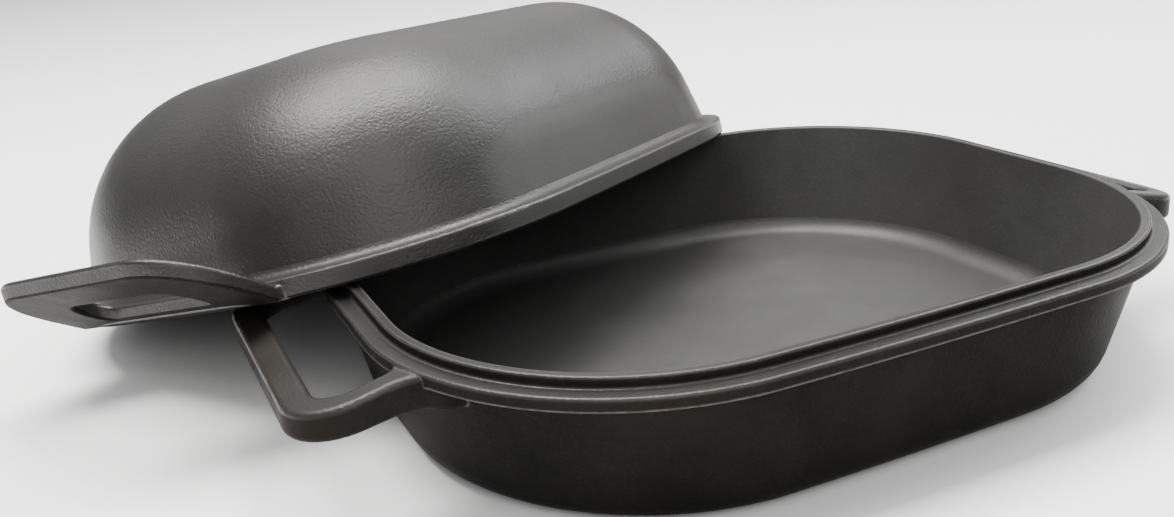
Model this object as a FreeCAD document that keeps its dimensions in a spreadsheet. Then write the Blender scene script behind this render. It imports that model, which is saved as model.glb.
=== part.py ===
# Cast-iron bread pan: an oblong pan with two loop handles and its domed lid.
# The pan stands on z = 0 with its long side along X. The lid leans on the pan's back rim.
import FreeCAD, Part
import math
import os

import Sketcher

os.makedirs("parts", exist_ok=True)

App = FreeCAD
V = App.Vector
doc = App.newDocument("BreadPan")

# ---------------------------------------------------------------- dimensions (mm, degrees)
DIMS = [
    # rim outline, shared by the pan's ledge and the lid's band
    ("rim_half_length", 165.0),
    ("rim_half_width", 133.0),
    ("rim_corner", 102.0),
    ("side_bow_radius", 2400.0),
    # pan
    ("ledge_height", 55.0),
    ("ledge_width", 6.4),
    ("ledge_thick", 4.6),
    ("lip_rise", 4.0),
    ("lip_width", 3.8),
    ("lip_round", 0.9),
    ("lip_root_round", 0.8),
    ("ledge_round", 1.2),
    ("wall_inset", 5.8),
    ("foot_half_length", 148.9),
    ("foot_half_width", 121.2),
    ("foot_corner", 104.0),
    ("foot_round", 13.0),
    ("floor_thick", 5.0),
    ("floor_half_length", 144.6),
    ("floor_half_width", 116.6),
    ("floor_corner", 99.5),
    ("floor_round", 9.5),
    # pan handles
    ("grip_reach", 198.0),
    ("grip_half_width", 66.0),
    ("grip_corner", 22.0),
    ("grip_flare", 18.0),
    ("grip_flare_start", 168.2),
    ("grip_root_half_width", 75.5),
    ("grip_top_drop", 10.2),
    ("grip_thick", 10.8),
    ("grip_top_start", 154.6),
    ("grip_edge_round", 2.4),
    ("grip_root_round", 7.0),
    ("grip_slab_depth", 24.0),
    ("grip_bridge", 100.0),
    ("grip_root_depth", 12.6),
    ("cut_play", 6.0),
    ("gap_inner", 160.8),
    ("gap_outer", 187.0),
    ("gap_half_width", 56.0),
    ("gap_outer_round", 12.0),
    ("gap_inner_round", 5.0),
    # lid
    ("band_rise", 8.0),
    ("band_round", 1.2),
    ("rebate_rise", 4.6),
    ("rebate_play", 0.6),
    ("dome_inset", 8.0),
    ("dome_foot_round", 4.0),
    ("dome_rise", 90.4),
    ("dome_top_half_length", 141.1),
    ("dome_top_half_width", 108.0),
    ("dome_top_corner", 82.0),
    ("dome_round", 77.0),
    ("dome_wall", 5.0),
    # lid handles
    ("wing_reach", 201.5),
    ("wing_half_width", 64.0),
    ("wing_corner", 28.0),
    ("wing_flare", 6.0),
    ("wing_flare_start", 162.0),
    ("wing_root_half_width", 68.0),
    ("wing_tip_height", 32.4),
    ("wing_top_start", 160.5),
    ("wing_thick", 8.0),
    ("wing_edge_round", 1.6),
    ("wing_dip", 10.7),
    ("wing_root", 144.5),
    ("wing_top_height", 6.2),
    ("hollow_inset", 11.6),
    ("hollow_round", 72.0),
    # how the lid leans (degrees) and where its band's centre is
    ("lid_at_x", -82.3),
    ("lid_at_y", 159.9),
    ("lid_at_z", 34.9),
    ("lid_turn", 33.2),
    ("lid_dip", 1.85),
    ("lid_lean", -14.1),
    ("wing_gap_inner", 166.5),
    ("wing_gap_outer", 184.5),
    ("wing_gap_half_width", 35.0),
]
sheet = doc.addObject("Spreadsheet::Sheet", "Sheet")
DIM = {}
for row, (alias, number) in enumerate(DIMS, start=1):
    sheet.set("A%d" % row, alias)
    sheet.set("B%d" % row, str(number))
    sheet.setAlias("B%d" % row, alias)
    DIM[alias] = number
doc.recompute()


def total(names):
    """Sum of sheet values; a name with a leading minus is taken off."""
    value = 0.0
    for name in names.split():
        value += -DIM[name[1:]] if name[0] == "-" else DIM[name]
    return value


def formula(names, sign=1):
    """The same sum as an expression on the sheet."""
    text = ""
    for name in names.split():
        minus = (name[0] == "-") == (sign > 0)
        text += (" - " if minus else " + ") + "Sheet." + name.lstrip("-")
    return text.strip().lstrip("+").strip()


def plane_of(body, role):
    return [f for f in body.Origin.OriginFeatures if f.Role == role][0]


def new_sketch(body, name, role="XY_Plane", rise=None):
    sk = body.newObject("Sketcher::SketchObject", name)
    sk.AttachmentSupport = [(plane_of(body, role), "")]
    sk.MapMode = "FlatFace"
    if rise:
        sk.AttachmentOffset = App.Placement(V(0, 0, total(rise)), App.Rotation())
        sk.setExpression("AttachmentOffset.Base.z", formula(rise))
    return sk


def dimension(sk, constraint, names, sign=1):
    """Add a driving dimension bound to the sheet."""
    number = sk.addConstraint(constraint)
    sk.setExpression("Constraints[%d]" % number, formula(names, sign))
    return number


def segment(sk, p, q):
    return sk.addGeometry(Part.LineSegment(V(p[0], p[1], 0), V(q[0], q[1], 0)), False)


def arc(sk, centre, radius, start, end):
    circle = Part.Circle(V(centre[0], centre[1], 0), V(0, 0, 1), radius)
    lo, hi = math.radians(start), math.radians(end)
    return sk.addGeometry(Part.ArcOfCircle(circle, lo, hi), False)


def flip(names):
    """The same sum with every sign turned round."""
    return " ".join(n[1:] if n[0] == "-" else "-" + n for n in names.split())


def join(sk, kind, pairs):
    """Join curve ends: pairs of (curve, end, curve, end)."""
    for a, pa, b, pb in pairs:
        sk.addConstraint(Sketcher.Constraint(kind, a, pa, b, pb))


def from_y_axis(sk, curve, point, names, side=1):
    """Distance of a point from the sketch's vertical axis, on the plus or minus side."""
    ends = (-1, 1, curve, point) if side > 0 else (curve, point, -1, 1)
    dimension(sk, Sketcher.Constraint("DistanceX", *ends, total(names)), names)


def from_x_axis(sk, curve, point, names, side=1):
    ends = (-1, 1, curve, point) if side > 0 else (curve, point, -1, 1)
    dimension(sk, Sketcher.Constraint("DistanceY", *ends, total(names)), names)


def radius(sk, curves, names):
    """One driving radius, shared by every curve in the list."""
    dimension(sk, Sketcher.Constraint("Radius", curves[0], total(names)), names)
    for other in curves[1:]:
        sk.addConstraint(Sketcher.Constraint("Equal", curves[0], other))


def rim_outline(body, name, length, width, corner, rise=None):
    """Oblong outline: straight ends, round corners and slightly bowed sides."""
    sk = new_sketch(body, name, rise=rise)
    bow = "side_bow_radius " + flip(width)
    l, w, r = total(length), total(width), total(corner)
    big = DIM["side_bow_radius"]
    low = total(bow)
    cx = l - r
    cy = math.sqrt((big - r) ** 2 - cx ** 2) - low
    turn = math.degrees(math.atan2(cy + low, cx))
    segment(sk, (l, -cy), (l, cy))
    arc(sk, (cx, cy), r, 0, turn)
    arc(sk, (0, -low), big, turn, 180 - turn)
    arc(sk, (-cx, cy), r, 180 - turn, 180)
    segment(sk, (-l, cy), (-l, -cy))
    arc(sk, (-cx, -cy), r, 180, 180 + turn)
    arc(sk, (0, low), big, 180 + turn, 360 - turn)
    arc(sk, (cx, -cy), r, 360 - turn, 360)
    join(sk, "Tangent", [(i, 2, (i + 1) % 8, 1) for i in range(8)])
    sk.addConstraint(Sketcher.Constraint("Vertical", 0))
    sk.addConstraint(Sketcher.Constraint("Vertical", 4))
    from_y_axis(sk, 0, 1, length)
    from_y_axis(sk, 4, 1, length, -1)
    radius(sk, (1, 3, 5, 7), corner)
    radius(sk, (2, 6), "side_bow_radius")
    sk.addConstraint(Sketcher.Constraint("PointOnObject", 2, 3, -2))
    sk.addConstraint(Sketcher.Constraint("PointOnObject", 6, 3, -2))
    from_x_axis(sk, 2, 3, bow, -1)
    from_x_axis(sk, 6, 3, bow)
    return sk


def grip_outline(body, name, kind, rise):
    """Outline of both handles and the bridge between them, seen from above.

    The sizes are the sheet's values for this kind of handle, grip or wing.
    """
    reach, half, corner = kind + "_reach", kind + "_half_width", kind + "_corner"
    flare, start, root = kind + "_flare", kind + "_flare_start", kind + "_root_half_width"
    sk = new_sketch(body, name, rise=rise)
    X, Y, c = total(reach), total(half), total(corner)
    xf, f, yr = DIM[start], DIM[flare], DIM[root]
    turn = math.degrees(math.asin((Y + f - yr) / f))
    xp = xf - f * math.cos(math.radians(turn))
    segment(sk, (X, c - Y), (X, Y - c))
    arc(sk, (X - c, Y - c), c, 0, 90)
    segment(sk, (X - c, Y), (xf, Y))
    arc(sk, (xf, Y + f), f, 180 + turn, 270)
    segment(sk, (xp, yr), (-xp, yr))
    arc(sk, (-xf, Y + f), f, 270, 360 - turn)
    segment(sk, (-xf, Y), (c - X, Y))
    arc(sk, (c - X, Y - c), c, 90, 180)
    segment(sk, (-X, Y - c), (-X, c - Y))
    arc(sk, (c - X, c - Y), c, 180, 270)
    segment(sk, (c - X, -Y), (-xf, -Y))
    arc(sk, (-xf, -Y - f), f, turn, 90)
    segment(sk, (-xp, -yr), (xp, -yr))
    arc(sk, (xf, -Y - f), f, 90, 180 - turn)
    segment(sk, (xf, -Y), (X - c, -Y))
    arc(sk, (X - c, c - Y), c, 270, 360)
    join(sk, "Tangent", [(0, 2, 1, 1), (1, 2, 2, 1), (2, 2, 3, 2)])
    join(sk, "Tangent", [(5, 1, 6, 1), (6, 2, 7, 1), (7, 2, 8, 1)])
    join(sk, "Tangent", [(8, 2, 9, 1), (9, 2, 10, 1), (10, 2, 11, 2)])
    join(sk, "Tangent", [(13, 1, 14, 1), (14, 2, 15, 1), (15, 2, 0, 1)])
    join(sk, "Coincident", [(3, 1, 4, 1), (4, 2, 5, 2), (11, 1, 12, 1), (12, 2, 13, 2)])
    for line in (0, 8):
        sk.addConstraint(Sketcher.Constraint("Vertical", line))
    for line in (2, 4, 6, 10, 12, 14):
        sk.addConstraint(Sketcher.Constraint("Horizontal", line))
    from_y_axis(sk, 0, 1, reach)
    from_y_axis(sk, 8, 1, reach, -1)
    for curve, point, sx, sy in ((2, 2, 1, 1), (6, 1, -1, 1), (10, 2, -1, -1), (14, 1, 1, -1)):
        from_y_axis(sk, curve, point, start, sx)
        from_x_axis(sk, curve, point, half, sy)
    from_x_axis(sk, 4, 1, root)
    from_x_axis(sk, 12, 1, root, -1)
    radius(sk, (1, 7, 9, 15), corner)
    radius(sk, (3, 5, 11, 13), flare)
    return sk


def gap_outline(body, name, inner, outer, half, rise):
    """The two finger gaps: blocks with round corners, one through each handle."""
    sk = new_sketch(body, name, rise=rise)
    a, b, Y = total(inner), total(outer), total(half)
    ro, ri = DIM["gap_outer_round"], DIM["gap_inner_round"]
    for side in (1, -1):
        n = sk.GeometryCount
        # clockwise or anticlockwise makes no difference to a closed hole
        segment(sk, (side * b, ro - Y), (side * b, Y - ro))
        segment(sk, (side * (b - ro), Y), (side * (a + ri), Y))
        segment(sk, (side * a, Y - ri), (side * a, ri - Y))
        segment(sk, (side * (a + ri), -Y), (side * (b - ro), -Y))
        first = {1: (0, 90, 180, 270), -1: (90, 0, 270, 180)}[side]
        arc(sk, (side * (b - ro), Y - ro), ro, first[0], first[0] + 90)
        arc(sk, (side * (a + ri), Y - ri), ri, first[1], first[1] + 90)
        arc(sk, (side * (a + ri), ri - Y), ri, first[2], first[2] + 90)
        arc(sk, (side * (b - ro), ro - Y), ro, first[3], first[3] + 90)
        p, q = (1, 2) if side > 0 else (2, 1)
        join(sk, "Tangent", [(n, 2, n + 4, p), (n + 4, q, n + 1, 1)])
        join(sk, "Tangent", [(n + 1, 2, n + 5, p), (n + 5, q, n + 2, 1)])
        join(sk, "Tangent", [(n + 2, 2, n + 6, p), (n + 6, q, n + 3, 1)])
        join(sk, "Tangent", [(n + 3, 2, n + 7, p), (n + 7, q, n, 1)])
        for line in (n, n + 2):
            sk.addConstraint(Sketcher.Constraint("Vertical", line))
        for line in (n + 1, n + 3):
            sk.addConstraint(Sketcher.Constraint("Horizontal", line))
        from_y_axis(sk, n, 1, outer, side)
        from_y_axis(sk, n + 2, 1, inner, side)
        from_x_axis(sk, n + 1, 1, half)
        from_x_axis(sk, n + 3, 1, half, -1)
        radius(sk, (n + 4, n + 7), "gap_outer_round")
        radius(sk, (n + 5, n + 6), "gap_inner_round")
    return sk


def side_cuts(body, name, corners):
    """Closed polygons on the XZ plane, drawn once on each side of the middle.

    Each corner is (distance along X, height), both as sums of sheet names.
    """
    sk = new_sketch(body, name, role="XZ_Plane")
    for side in (1, -1):
        for polygon in corners:
            n = sk.GeometryCount
            pts = [(side * total(x), total(z)) for x, z in polygon]
            count = len(pts)
            for i in range(count):
                segment(sk, pts[i], pts[(i + 1) % count])
            join(sk, "Coincident", [(n + i, 2, n + (i + 1) % count, 1) for i in range(count)])
            for i, (x, z) in enumerate(polygon):
                from_y_axis(sk, n + i, 1, x, side)
                from_x_axis(sk, n + i, 1, z)
    return sk


def pad(body, name, sketch, length, reverse=False):
    f = body.newObject("PartDesign::Pad", name)
    f.Profile = sketch
    f.Length = total(length)
    f.setExpression("Length", formula(length))
    f.Reversed = reverse
    return finish(f)


def pocket(body, name, sketch, length=None, middle=False, reverse=False):
    before = body.Shape.Volume
    f = body.newObject("PartDesign::Pocket", name)
    f.Profile = sketch
    f.Reversed = reverse
    if length:
        f.Length = total(length)
        f.setExpression("Length", formula(length))
    else:
        f.Type = "ThroughAll"
    if middle:
        f.SideType = "Symmetric"
    finish(f)
    if f.Shape.Volume > before - 1.0:
        raise RuntimeError(name + " cut nothing")
    return f


def loft(body, name, kind, lower, upper):
    f = body.newObject("PartDesign::" + kind, name)
    f.Profile = lower
    f.Sections = [upper]
    f.Ruled = True
    return finish(f)


def finish(feature):
    doc.recompute()
    bad = [s for s in feature.State if s in ("Invalid", "Error")]
    if bad or feature.Shape.isNull() or not feature.Shape.isValid():
        raise RuntimeError("%s failed: %s" % (feature.Name, feature.State))
    return feature


def edges_where(shape, test):
    """Names of the edges whose box (xmin, xmax, ymin, ymax, zmin, zmax) passes the test."""
    found = []
    for i, e in enumerate(shape.Edges, start=1):
        b = e.BoundBox
        if test(b.XMin, b.XMax, b.YMin, b.YMax, b.ZMin, b.ZMax):
            found.append("Edge%d" % i)
    return found


def level(z0, z1, z):
    """True for an edge that lies flat at height z."""
    return abs(z0 - z) < 0.01 and abs(z1 - z) < 0.01


def within(x0, x1, y0, y1, inset):
    """True for an edge that keeps at least this far inside the rim's full outline."""
    near_x = max(abs(x0), abs(x1)) < DIM["rim_half_length"] - total(inset) + 0.2
    near_y = max(abs(y0), abs(y1)) < DIM["rim_half_width"] - total(inset) + 0.2
    return near_x and near_y


def fillet(body, name, size, test):
    base = body.Tip
    names = edges_where(base.Shape, test)
    f = body.newObject("PartDesign::Fillet", name)
    f.Base = (base, names)
    f.Radius = total(size)
    f.setExpression("Radius", formula(size))
    return finish(f)


# ---------------------------------------------------------------- the pan
def build_pan():
    body = doc.addObject("PartDesign::Body", "pan_base")
    body.Label = "pan_base"
    # both handles start as one slab, cut to slope down and outwards
    sk = grip_outline(body, "grip_plan", "grip", "ledge_height -grip_slab_depth")
    pad(body, "grip_slab", sk, "grip_slab_depth")
    above = [
        ("grip_top_start", "ledge_height"),
        ("grip_reach cut_play", "ledge_height"),
        ("grip_reach cut_play", "ledge_height -grip_top_drop"),
        ("grip_reach", "ledge_height -grip_top_drop"),
    ]
    below = [
        ("grip_reach", "ledge_height -grip_top_drop -grip_thick"),
        ("grip_reach cut_play", "ledge_height -grip_top_drop -grip_thick"),
        ("grip_reach cut_play", "ledge_height -grip_slab_depth -cut_play"),
        ("grip_bridge", "ledge_height -grip_slab_depth -cut_play"),
        ("grip_bridge", "ledge_height -grip_root_depth"),
        ("grip_top_start", "ledge_height -grip_root_depth"),
    ]
    pocket(body, "grip_slopes", side_cuts(body, "grip_side", [above, below]), middle=True)
    sk = gap_outline(body, "gap_plan", "gap_inner", "gap_outer", "gap_half_width", "ledge_height")
    pocket(body, "finger_gaps", sk)
    y_root = DIM["grip_root_half_width"]
    fillet(body, "root_corners", "grip_root_round", lambda x0, x1, y0, y1, z0, z1:
           z1 - z0 > 5.0 and x1 - x0 < 0.01 and level(abs(y0), abs(y1), y_root))
    fillet(body, "grip_rounds", "grip_edge_round", lambda x0, x1, y0, y1, z0, z1:
           min(abs(x0), abs(x1)) > 152.0 and max(x1 - x0, y1 - y0) > 0.5)
    # tapered wall, ledge and raised lip
    foot = rim_outline(body, "foot_plan", "foot_half_length", "foot_half_width", "foot_corner")
    top = rim_outline(body, "wall_plan", "rim_half_length -wall_inset", "rim_half_width -wall_inset",
                      "rim_corner -wall_inset", rise="ledge_height")
    loft(body, "wall", "AdditiveLoft", foot, top)
    fillet(body, "foot_rounding", "foot_round", lambda x0, x1, y0, y1, z0, z1: z1 < 0.01)
    sk = rim_outline(body, "ledge_plan", "rim_half_length", "rim_half_width", "rim_corner",
                     rise="ledge_height -ledge_thick")
    pad(body, "ledge", sk, "ledge_thick")
    less = " -ledge_width"
    sk = rim_outline(body, "lip_plan", "rim_half_length" + less, "rim_half_width" + less,
                     "rim_corner" + less, rise="ledge_height")
    pad(body, "lip", sk, "lip_rise")
    # the inside
    low = rim_outline(body, "floor_plan", "floor_half_length", "floor_half_width", "floor_corner",
                      rise="floor_thick")
    less = " -ledge_width -lip_width"
    high = rim_outline(body, "mouth_plan", "rim_half_length" + less, "rim_half_width" + less,
                       "rim_corner" + less, rise="ledge_height lip_rise")
    loft(body, "inside", "SubtractiveLoft", low, high)
    z_floor = DIM["floor_thick"]
    fillet(body, "floor_rounding", "floor_round", lambda x0, x1, y0, y1, z0, z1:
           level(z0, z1, z_floor))
    # soft edges: the lip's top and root, and both edges of the ledge
    z_ledge = DIM["ledge_height"]
    z_lip = z_ledge + DIM["lip_rise"]
    fillet(body, "lip_rounding", "lip_round", lambda x0, x1, y0, y1, z0, z1: z0 > z_lip - 0.01)
    fillet(body, "lip_root_rounding", "lip_root_round", lambda x0, x1, y0, y1, z0, z1:
           level(z0, z1, z_ledge) and within(x0, x1, y0, y1, "ledge_width"))
    fillet(body, "ledge_rounding", "ledge_round", lambda x0, x1, y0, y1, z0, z1:
           level(z0, z1, z_ledge) and not within(x0, x1, y0, y1, "ledge_width"))
    return body


# ---------------------------------------------------------------- the lid
def build_hollow():
    """The space under the dome, taken out of the lid."""
    body = doc.addObject("PartDesign::Body", "lid_hollow")
    less = " -hollow_inset"
    sizes = ["rim_half_length" + less, "rim_half_width" + less, "rim_corner" + less]
    sk = rim_outline(body, "hollow_foot_plan", *sizes, rise="-cut_play")
    pad(body, "hollow_foot", sk, "cut_play")
    low = rim_outline(body, "hollow_plan", *sizes)
    less = " -dome_wall"
    high = rim_outline(body, "hollow_top_plan", "dome_top_half_length" + less,
                       "dome_top_half_width" + less, "dome_top_corner" + less, rise="dome_rise -dome_wall")
    loft(body, "hollow_block", "AdditiveLoft", low, high)
    z_in = DIM["dome_rise"] - DIM["dome_wall"]
    fillet(body, "hollow_rounding", "hollow_round", lambda x0, x1, y0, y1, z0, z1: z0 > z_in - 0.01)
    return body


def build_lid():
    """Drawn upright with its band on z = 0, then leaned by its Placement."""
    body = doc.addObject("PartDesign::Body", "domed_lid")
    body.Label = "domed_lid"
    # both handles start as one slab, cut to slope up and outwards
    sk = grip_outline(body, "wing_plan", "wing", "-wing_dip")
    pad(body, "wing_slab", sk, "wing_dip wing_tip_height cut_play")
    above = [
        ("wing_reach", "wing_tip_height"),
        ("wing_reach cut_play", "wing_tip_height"),
        ("wing_reach cut_play", "wing_tip_height cut_play cut_play"),
        ("grip_bridge", "wing_tip_height cut_play cut_play"),
        ("grip_bridge", "wing_top_height"),
        ("wing_top_start", "wing_top_height"),
    ]
    below = [
        ("wing_reach", "wing_tip_height -wing_thick"),
        ("wing_reach cut_play", "wing_tip_height -wing_thick"),
        ("wing_reach cut_play", "-wing_dip -cut_play"),
        ("wing_root", "-wing_dip -cut_play"),
        ("wing_root", "-wing_dip"),
    ]
    pocket(body, "wing_slopes", side_cuts(body, "wing_side", [above, below]), middle=True)
    sk = gap_outline(body, "wing_gap_plan", "wing_gap_inner", "wing_gap_outer", "wing_gap_half_width",
                     "wing_tip_height cut_play")
    pocket(body, "wing_gaps", sk)
    fillet(body, "wing_rounds", "wing_edge_round", lambda x0, x1, y0, y1, z0, z1:
           min(abs(x0), abs(x1)) > 150.0 and max(x1 - x0, y1 - y0) > 0.5)
    sk = rim_outline(body, "trim_plan", "wing_reach cut_play", "rim_half_width", "wing_half_width")
    pocket(body, "wing_trim", sk)
    # band, ledge and dome
    sk = rim_outline(body, "band_plan", "rim_half_length", "rim_half_width", "rim_corner")
    pad(body, "band", sk, "band_rise")
    less = " -dome_inset"
    foot = rim_outline(body, "dome_foot_plan", "rim_half_length" + less, "rim_half_width" + less,
                       "rim_corner" + less, rise="band_rise")
    top = rim_outline(body, "dome_top_plan", "dome_top_half_length", "dome_top_half_width",
                      "dome_top_corner", rise="dome_rise")
    loft(body, "dome", "AdditiveLoft", foot, top)
    z_top = DIM["dome_rise"]
    fillet(body, "dome_rounding", "dome_round", lambda x0, x1, y0, y1, z0, z1: z0 > z_top - 0.01)
    z_band = DIM["band_rise"]
    fillet(body, "dome_foot_rounding", "dome_foot_round", lambda x0, x1, y0, y1, z0, z1:
           level(z0, z1, z_band) and within(x0, x1, y0, y1, "dome_inset"))
    # the inside: a rebate that drops over the pan's lip, then the hollow of the dome
    less = " -ledge_width rebate_play"
    sk = rim_outline(body, "rebate_plan", "rim_half_length" + less, "rim_half_width" + less,
                     "rim_corner" + less)
    pocket(body, "rebate", sk, "rebate_rise", reverse=True)
    cut = body.newObject("PartDesign::Boolean", "hollow")
    cut.Type = "Cut"
    cut.setObjects([build_hollow()])
    finish(cut)
    body.Tip = cut
    # soft edges round the top and foot of the band
    fillet(body, "band_top_rounding", "band_round", lambda x0, x1, y0, y1, z0, z1:
           level(z0, z1, z_band) and not within(x0, x1, y0, y1, "wing_edge_round")
           and min(abs(y0), abs(y1)) > 80.0)
    fillet(body, "band_foot_rounding", "band_round", lambda x0, x1, y0, y1, z0, z1:
           level(z0, z1, 0.0) and not within(x0, x1, y0, y1, "wing_edge_round"))
    return body


pan = build_pan()
lid = build_lid()
for axis in "xyz":
    lid.setExpression("Placement.Base." + axis, "Sheet.lid_at_" + axis)
turn = App.Rotation(DIM["lid_turn"], DIM["lid_dip"], DIM["lid_lean"])
lid.Placement = App.Placement(V(DIM["lid_at_x"], DIM["lid_at_y"], DIM["lid_at_z"]), turn)
doc.recompute()

for obj in doc.Objects:
    if [state for state in obj.State if state in ("Invalid", "Error")]:
        raise RuntimeError("%s failed" % obj.Name)
for part in (pan, lid):
    if part.Shape.isNull() or not part.Shape.isValid() or len(part.Shape.Solids) != 1:
        raise RuntimeError("%s is not one valid solid" % part.Label)
    part.Shape.exportStep("parts/%s.step" % part.Label)
    print(part.Label, round(part.Shape.Volume / 1000.0, 1), "cm3", part.Shape.BoundBox)
print("gap between pan and lid", round(pan.Shape.distToShape(lid.Shape)[0], 3), "mm")
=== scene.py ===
import math

import bpy
from mathutils import Matrix, Vector

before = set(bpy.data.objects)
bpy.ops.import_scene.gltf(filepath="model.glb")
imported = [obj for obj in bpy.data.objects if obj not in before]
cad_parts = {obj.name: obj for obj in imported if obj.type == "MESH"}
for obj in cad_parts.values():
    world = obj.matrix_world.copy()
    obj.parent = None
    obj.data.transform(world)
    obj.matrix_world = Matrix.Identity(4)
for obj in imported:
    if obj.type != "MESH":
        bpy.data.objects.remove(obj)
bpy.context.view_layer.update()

# ---- the cast iron's skin ----------------------------------------------------------------
# texture scales, in cells per metre
PEBBLE_SCALE = 820.0
GRIT_SCALE = 1500.0
PIT_SCALE = 560.0
SWELL_SCALE = 48.0
PATCH_SCALE = 15.0
OIL_SCALE = 7.0
SCUFF_SCALE = 260.0
SHEEN_SCALE = 24.0
# relief: full heights in metres, and how much of each part shows
GRAIN_HEIGHT = 0.00035
SWELL_HEIGHT = 0.0006
SWELL_SHARE = 0.3
GRIT_SHARE = 0.3
PIT_SHARE = 0.3
INSIDE_RELIEF = 0.35
# edges: width in metres, rays that find them, how much paler they are from wear and a painted
# highlight, and how much glossier
EDGE_WIDTH = 0.0016
EDGE_SAMPLES = 6
EDGE_WEAR_AND_HIGHLIGHT_TONE = 7.0
EDGE_GLOSS = 0.7
EDGE_POLISH = 0.1
# baked oil, the hollow side, and how far along X from the origin the handles start
OIL_CAST = (1.05, 0.86, 0.70)
OIL_POLISH = 0.05
INSIDE_DULLNESS = 0.1
HANDLES_START = 0.1595
# index of refraction of faces that turn down and of the others: the lower one dims their
# reflection as painted shade
DOWNWARD_SHADE_INDEX, UPWARD_INDEX = 1.07, 1.5


# ---- node helpers ------------------------------------------------------------------------

def new_material(name):
    """An empty node material with a shader wired to its output."""
    material = bpy.data.materials.new(name)
    material.use_nodes = True
    tree = material.node_tree
    tree.nodes.clear()
    out = tree.nodes.new("ShaderNodeOutputMaterial")
    shader = tree.nodes.new("ShaderNodeBsdfPrincipled")
    tree.links.new(shader.outputs["BSDF"], out.inputs["Surface"])
    return material, tree, shader


def noise(tree, where, scale, detail=3.0, roughness=0.5, distortion=0.0):
    node = tree.nodes.new("ShaderNodeTexNoise")
    node.inputs["Scale"].default_value = scale
    node.inputs["Detail"].default_value = detail
    node.inputs["Roughness"].default_value = roughness
    node.inputs["Distortion"].default_value = distortion
    tree.links.new(where, node.inputs["Vector"])
    return node.outputs["Fac"]


def spread(tree, value, from_low, from_high, to_low, to_high):
    """Maps a value smoothly from one range to another, held at both ends."""
    node = tree.nodes.new("ShaderNodeMapRange")
    node.interpolation_type = "SMOOTHSTEP"
    tree.links.new(value, node.inputs["Value"])
    node.inputs["From Min"].default_value = from_low
    node.inputs["From Max"].default_value = from_high
    node.inputs["To Min"].default_value = to_low
    node.inputs["To Max"].default_value = to_high
    return node.outputs["Result"]


def maths(tree, operation, a, b):
    """An arithmetic step, where a and b are each a plain number or a node's output."""
    node = tree.nodes.new("ShaderNodeMath")
    node.operation = operation
    for socket, value in zip(node.inputs, (a, b)):
        if isinstance(value, float):
            socket.default_value = value
        else:
            tree.links.new(value, socket)
    return node.outputs["Value"]


def weighted(tree, *pairs):
    """The sum of values, each times its weight."""
    total = maths(tree, "MULTIPLY", *pairs[0])
    for pair in pairs[1:]:
        total = maths(tree, "ADD", total, maths(tree, "MULTIPLY", *pair))
    return total


def vector(tree, operation, a, b=None):
    """A vector step, where a and b are each three plain numbers or a node's output."""
    node = tree.nodes.new("ShaderNodeVectorMath")
    node.operation = operation
    for socket, value in zip(node.inputs, (a, b)):
        if isinstance(value, tuple):
            socket.default_value = value
        elif value is not None:
            tree.links.new(value, socket)
    return node.outputs["Value" if operation == "DOT_PRODUCT" else "Vector"]


def axis(tree, value, name):
    """One of a vector's three parts."""
    node = tree.nodes.new("ShaderNodeSeparateXYZ")
    tree.links.new(value, node.inputs["Vector"])
    return node.outputs[name]


def tint(tree, factor, low, high):
    """A colour between two, by a factor."""
    node = tree.nodes.new("ShaderNodeMix")
    node.data_type = "RGBA"
    tree.links.new(factor, node.inputs["Factor"])
    for name, value in (("A", low), ("B", high)):
        socket = [s for s in node.inputs if s.name == name and s.type == "RGBA"][0]
        if isinstance(value, tuple):
            socket.default_value = (*value, 1.0)
        else:
            tree.links.new(value, socket)
    return [s for s in node.outputs if s.type == "RGBA"][0]


def bump(tree, height, strength, distance, under=None):
    """A normal from a height, on top of the normal given as under."""
    node = tree.nodes.new("ShaderNodeBump")
    node.inputs["Strength"].default_value = strength
    node.inputs["Distance"].default_value = distance
    tree.links.new(height, node.inputs["Height"])
    if under is not None:
        tree.links.new(under, node.inputs["Normal"])
    return node.outputs["Normal"]


# ---- the iron ----------------------------------------------------------------------------

def hollow_side(tree, coordinates, centre_height):
    """1 on faces that look towards a point over the origin, and 0 on the others and the handles.

    Both meshes lie where the pieces stand, so the origin is the pan's middle but not the lid's.
    On the pan this finds the inside. On the lid it is rough: it misses over a third of the inside
    and takes in about a twentieth of the outside.
    """
    centre = (0.0, 0.0, centre_height)
    from_centre = vector(tree, "SUBTRACT", coordinates.outputs["Object"], centre)
    outward = vector(tree, "DOT_PRODUCT", vector(tree, "NORMALIZE", from_centre),
                     coordinates.outputs["Normal"])
    along = maths(tree, "ABSOLUTE", axis(tree, coordinates.outputs["Object"], "X"), 0.0)
    between_handles = spread(
        tree, along, HANDLES_START - 0.001, HANDLES_START + 0.001, 1.0, 0.0)
    return maths(tree, "MULTIPLY", spread(tree, outward, -0.14, -0.02, 1.0, 0.0), between_handles)


def rubbed_and_highlit_edges(tree, place):
    """1 on the piece's corners and fading away from them, broken up by scuffs: worn corners,
    which the colour also brightens as a painted highlight.
    """
    corner = tree.nodes.new("ShaderNodeBevel")
    corner.samples = EDGE_SAMPLES
    corner.inputs["Radius"].default_value = EDGE_WIDTH
    plain_normal = tree.nodes.new("ShaderNodeNewGeometry").outputs["Normal"]
    agreement = vector(tree, "DOT_PRODUCT", corner.outputs["Normal"], plain_normal)
    scuffs = spread(tree, noise(tree, place, SCUFF_SCALE, 3.0, 0.6), 0.3, 0.65, 0.55, 1.0)
    return maths(tree, "MULTIPLY", spread(tree, agreement, 0.90, 0.995, 1.0, 0.0), scuffs)


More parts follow.
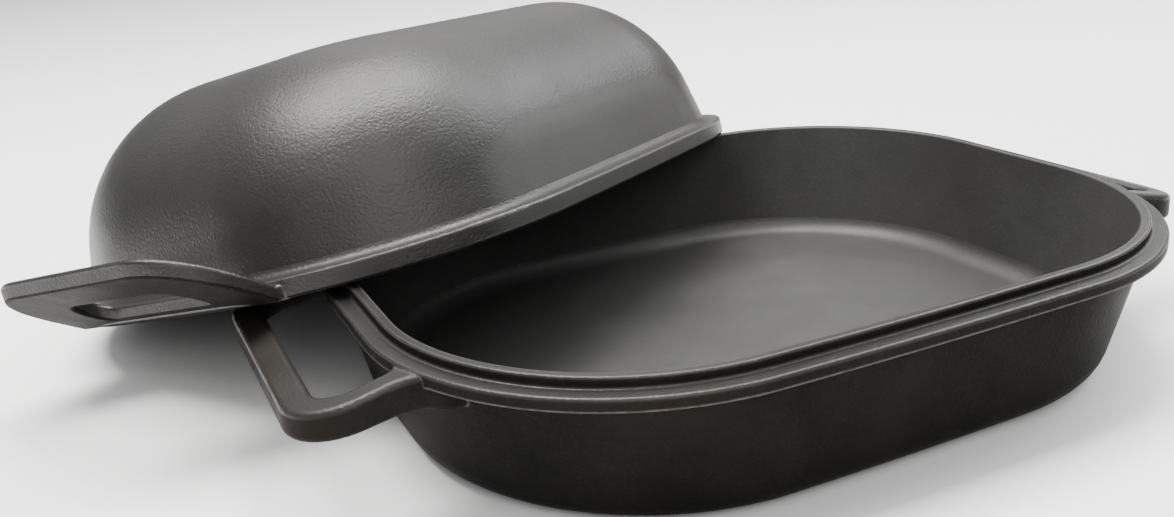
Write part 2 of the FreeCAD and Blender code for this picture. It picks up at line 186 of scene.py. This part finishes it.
def cast_iron(name, dark, light, hollow_tone_and_light, relief, shine, rough, shade_slopes, centre_height, shift):
    """Seasoned sand-cast iron.

    dark and light are its two tones, and the third tone is the paler grey of the hollow side:
    partly its own colour and partly painted light falling inside. The hollow side is smoother
    too and looks towards a point at centre_height over the origin. relief, shine and rough set
    how deep the grain is, how bright the sheen and how wide. The pair of slopes after rough
    (heights of the normal) are those between which a face that turns down reflects less, as
    painted shade. shift moves the pattern, so that no two pieces share it.
    """
    material, tree, shader = new_material(name)
    coordinates = tree.nodes.new("ShaderNodeTexCoord")
    shifted_by = (shift, shift * 0.37, shift * 0.71)
    place = vector(tree, "ADD", coordinates.outputs["Object"], shifted_by)
    inside = hollow_side(tree, coordinates, centre_height)

    # relief left by the sand mould: pebbles, finer grit, pits and a slow swell
    pebbles = noise(tree, place, PEBBLE_SCALE, 2.0, 0.5)
    cells = tree.nodes.new("ShaderNodeTexVoronoi")
    cells.inputs["Scale"].default_value = PIT_SCALE
    tree.links.new(place, cells.inputs["Vector"])
    pits = spread(tree, cells.outputs["Distance"], 0.05, 0.5, 0.0, 1.0)
    grit = noise(tree, place, GRIT_SCALE, 2.0, 0.55)
    height = weighted(tree, (pebbles, 1.0), (grit, GRIT_SHARE), (pits, PIT_SHARE))
    depth = spread(tree, inside, 0.0, 1.0, 1.0, INSIDE_RELIEF)
    height = maths(tree, "MULTIPLY", height, depth)
    swell = bump(tree, noise(tree, place, SWELL_SCALE, 2.0, 0.45), SWELL_SHARE, SWELL_HEIGHT)
    tree.links.new(bump(tree, height, relief, GRAIN_HEIGHT, swell), shader.inputs["Normal"])

    # colour: two tones in soft patches, a brown cast of baked oil, paler pebble tops, and edges
    # paler from wear and a painted highlight
    patches = spread(tree, noise(tree, place, PATCH_SCALE, 4.0, 0.6, 0.4), 0.32, 0.7, 0.0, 1.0)
    oil = spread(tree, noise(tree, place, OIL_SCALE, 3.0, 0.5, 0.8), 0.45, 0.72, 0.0, 0.7)
    tops = spread(tree, pebbles, 0.45, 0.7, 0.0, 1.0)
    mottle = weighted(tree, (patches, 0.6), (tops, 0.4))
    brown = tuple(tone * cast for tone, cast in zip(light, OIL_CAST))
    colour = tint(tree, oil, tint(tree, mottle, dark, light), brown)
    # the hollow side's paler grey is partly its own colour and partly painted light falling
    # inside
    hollow_and_light_share = maths(tree, "MULTIPLY", inside, spread(tree, mottle, 0.0, 1.0, 0.7, 1.0))
    colour = tint(tree, hollow_and_light_share, colour, hollow_tone_and_light)
    rubbed_and_highlit = rubbed_and_highlit_edges(tree, place)
    # the corners' paler colour is wear plus a painted highlight, several times the light tone
    colour = tint(tree, rubbed_and_highlit, colour, tuple(EDGE_WEAR_AND_HIGHLIGHT_TONE * tone for tone in light))
    tree.links.new(colour, shader.inputs["Base Color"])

    # sheen: duller and shinier patches, polished edges, and faces that turn down reflecting less
    # as painted shade
    patchy = noise(tree, place, SHEEN_SCALE, 3.0, 0.6)
    sheen = spread(tree, patchy, 0.3, 0.7, rough - 0.04, rough + 0.05)
    dullness = weighted(tree, (sheen, 1.0), (oil, -OIL_POLISH), (rubbed_and_highlit, -EDGE_POLISH),
                        (inside, INSIDE_DULLNESS))
    tree.links.new(dullness, shader.inputs["Roughness"])
    gloss = maths(tree, "ADD", maths(tree, "MULTIPLY", rubbed_and_highlit, EDGE_GLOSS), shine)
    tree.links.new(gloss, shader.inputs["Specular IOR Level"])
    # painted shade: faces that turn down get a lower index of refraction, so they reflect less
    slope = axis(tree, coordinates.outputs["Normal"], "Z")
    index = spread(tree, slope, *shade_slopes, DOWNWARD_SHADE_INDEX, UPWARD_INDEX)
    tree.links.new(index, shader.inputs["IOR"])
    return material


def paint(node, material):
    """Gives a carried-over part its material in every slot."""
    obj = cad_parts[node]
    if not obj.material_slots:
        obj.data.materials.append(material)
    for entry in obj.material_slots:
        entry.material = material


# each third tone is the hollow side's paler grey, partly its own colour and partly painted light;
# the slope pair sets painted shade on faces that turn down
paint("pan_base", cast_iron(
    "pan_cast_iron", dark=(0.0060, 0.0060, 0.0058), light=(0.0145, 0.0139, 0.0130),
    hollow_tone_and_light=(0.040, 0.040, 0.039), relief=0.40, shine=0.36, rough=0.40, shade_slopes=(-0.05, 0.5),
    centre_height=0.040, shift=1.3))
paint("domed_lid", cast_iron(
    "lid_cast_iron", dark=(0.0065, 0.0064, 0.0061), light=(0.0140, 0.0135, 0.0126),
    hollow_tone_and_light=(0.030, 0.030, 0.029), relief=0.50, shine=0.46, rough=0.42, shade_slopes=(-0.12, 0.15),
    centre_height=0.012, shift=7.9))


# ---- the floor ---------------------------------------------------------------------------
FLOOR_HALF = 40.0
FLOOR_TONE = 0.93
FLOOR_ROUGHNESS = 0.85


def make_floor():
    """A wide, flat, pale floor at z = 0."""
    signs = ((-1, -1), (1, -1), (1, 1), (-1, 1))
    corners = [(x * FLOOR_HALF, y * FLOOR_HALF, 0.0) for x, y in signs]
    mesh = bpy.data.meshes.new("floor")
    mesh.from_pydata(corners, [], [(0, 1, 2, 3)])
    floor = bpy.data.objects.new("floor", mesh)
    bpy.context.scene.collection.objects.link(floor)
    material, _, shader = new_material("pale_floor")
    shader.inputs["Base Color"].default_value = (FLOOR_TONE, FLOOR_TONE, FLOOR_TONE, 1.0)
    shader.inputs["Roughness"].default_value = FLOOR_ROUGHNESS
    mesh.materials.append(material)


make_floor()


# ---- light -------------------------------------------------------------------------------
WARM = (1.0, 0.985, 0.96)
WHITE = (1.0, 1.0, 1.0)
HORIZON_STRENGTH, ZENITH_STRENGTH = 0.30, 1.20
SKY_LEVELS_OFF = 0.9
# name, place, the point it looks at, (width, height), watts, colour
SOFTBOXES = (
    ("key", (-0.20, 0.30, 1.45), (-0.20, 0.05, 0.12), (1.5, 0.7), 70.0, WARM),
    ("right", (1.10, 0.24, 1.15), (-0.15, 0.05, 0.12), (1.0, 1.0), 23.0, WHITE),
    ("back", (0.45, 1.65, 1.15), (-0.02, 0.08, 0.06), (1.3, 1.3), 5.0, WARM),
    ("front", (-0.40, -1.70, 1.30), (-0.02, 0.08, 0.06), (1.4, 1.4), 15.0, WARM),
)


def softbox(name, at, aim, size, power, colour):
    """A rectangular lamp that looks at a point."""
    data = bpy.data.lights.new(name, "AREA")
    data.shape = "RECTANGLE"
    data.size, data.size_y = size
    data.energy = power
    data.color = colour
    lamp = bpy.data.objects.new(name, data)
    bpy.context.scene.collection.objects.link(lamp)
    lamp.location = at
    lamp.rotation_euler = (Vector(aim) - Vector(at)).to_track_quat("-Z", "Y").to_euler()


def make_sky():
    """Soft white light from above that falls off towards the horizon."""
    world = bpy.data.worlds.new("studio")
    bpy.context.scene.world = world
    world.use_nodes = True
    tree = world.node_tree
    background = tree.nodes["Background"]
    background.inputs["Color"].default_value = (*WHITE, 1.0)
    direction = tree.nodes.new("ShaderNodeTexCoord").outputs["Generated"]
    strength = spread(tree, axis(tree, direction, "Z"), 0.0, SKY_LEVELS_OFF,
                      HORIZON_STRENGTH, ZENITH_STRENGTH)
    tree.links.new(strength, background.inputs["Strength"])


for box in SOFTBOXES:
    softbox(*box)
make_sky()


# ---- camera ------------------------------------------------------------------------------
# the photograph's view, from the front left and a little above: metres, radians, millimetres
CAMERA_AT = Vector((-0.2399, -0.3830, 0.2023))
YAW, PITCH, ROLL = 0.426, 0.340, 0.070
LENS, SENSOR_WIDTH = 34.54, 36.0


def make_camera():
    """Looks along yaw and down by pitch, then turns about the line of sight by roll."""
    ahead = Vector((math.sin(YAW) * math.cos(PITCH), math.cos(YAW) * math.cos(PITCH),
                    -math.sin(PITCH)))
    level = Vector((math.cos(YAW), -math.sin(YAW), 0.0))
    down = ahead.cross(level)
    right = math.cos(ROLL) * level + math.sin(ROLL) * down
    up = math.sin(ROLL) * level - math.cos(ROLL) * down
    data = bpy.data.cameras.new("camera")
    data.sensor_fit = "HORIZONTAL"
    data.sensor_width = SENSOR_WIDTH
    data.lens = LENS
    data.clip_start = 0.01
    data.clip_end = 200.0
    camera = bpy.data.objects.new("camera", data)
    bpy.context.scene.collection.objects.link(camera)
    axes = Matrix((right, up, -ahead)).transposed().to_4x4()
    camera.matrix_world = Matrix.Translation(CAMERA_AT) @ axes
    bpy.context.scene.camera = camera


make_camera()
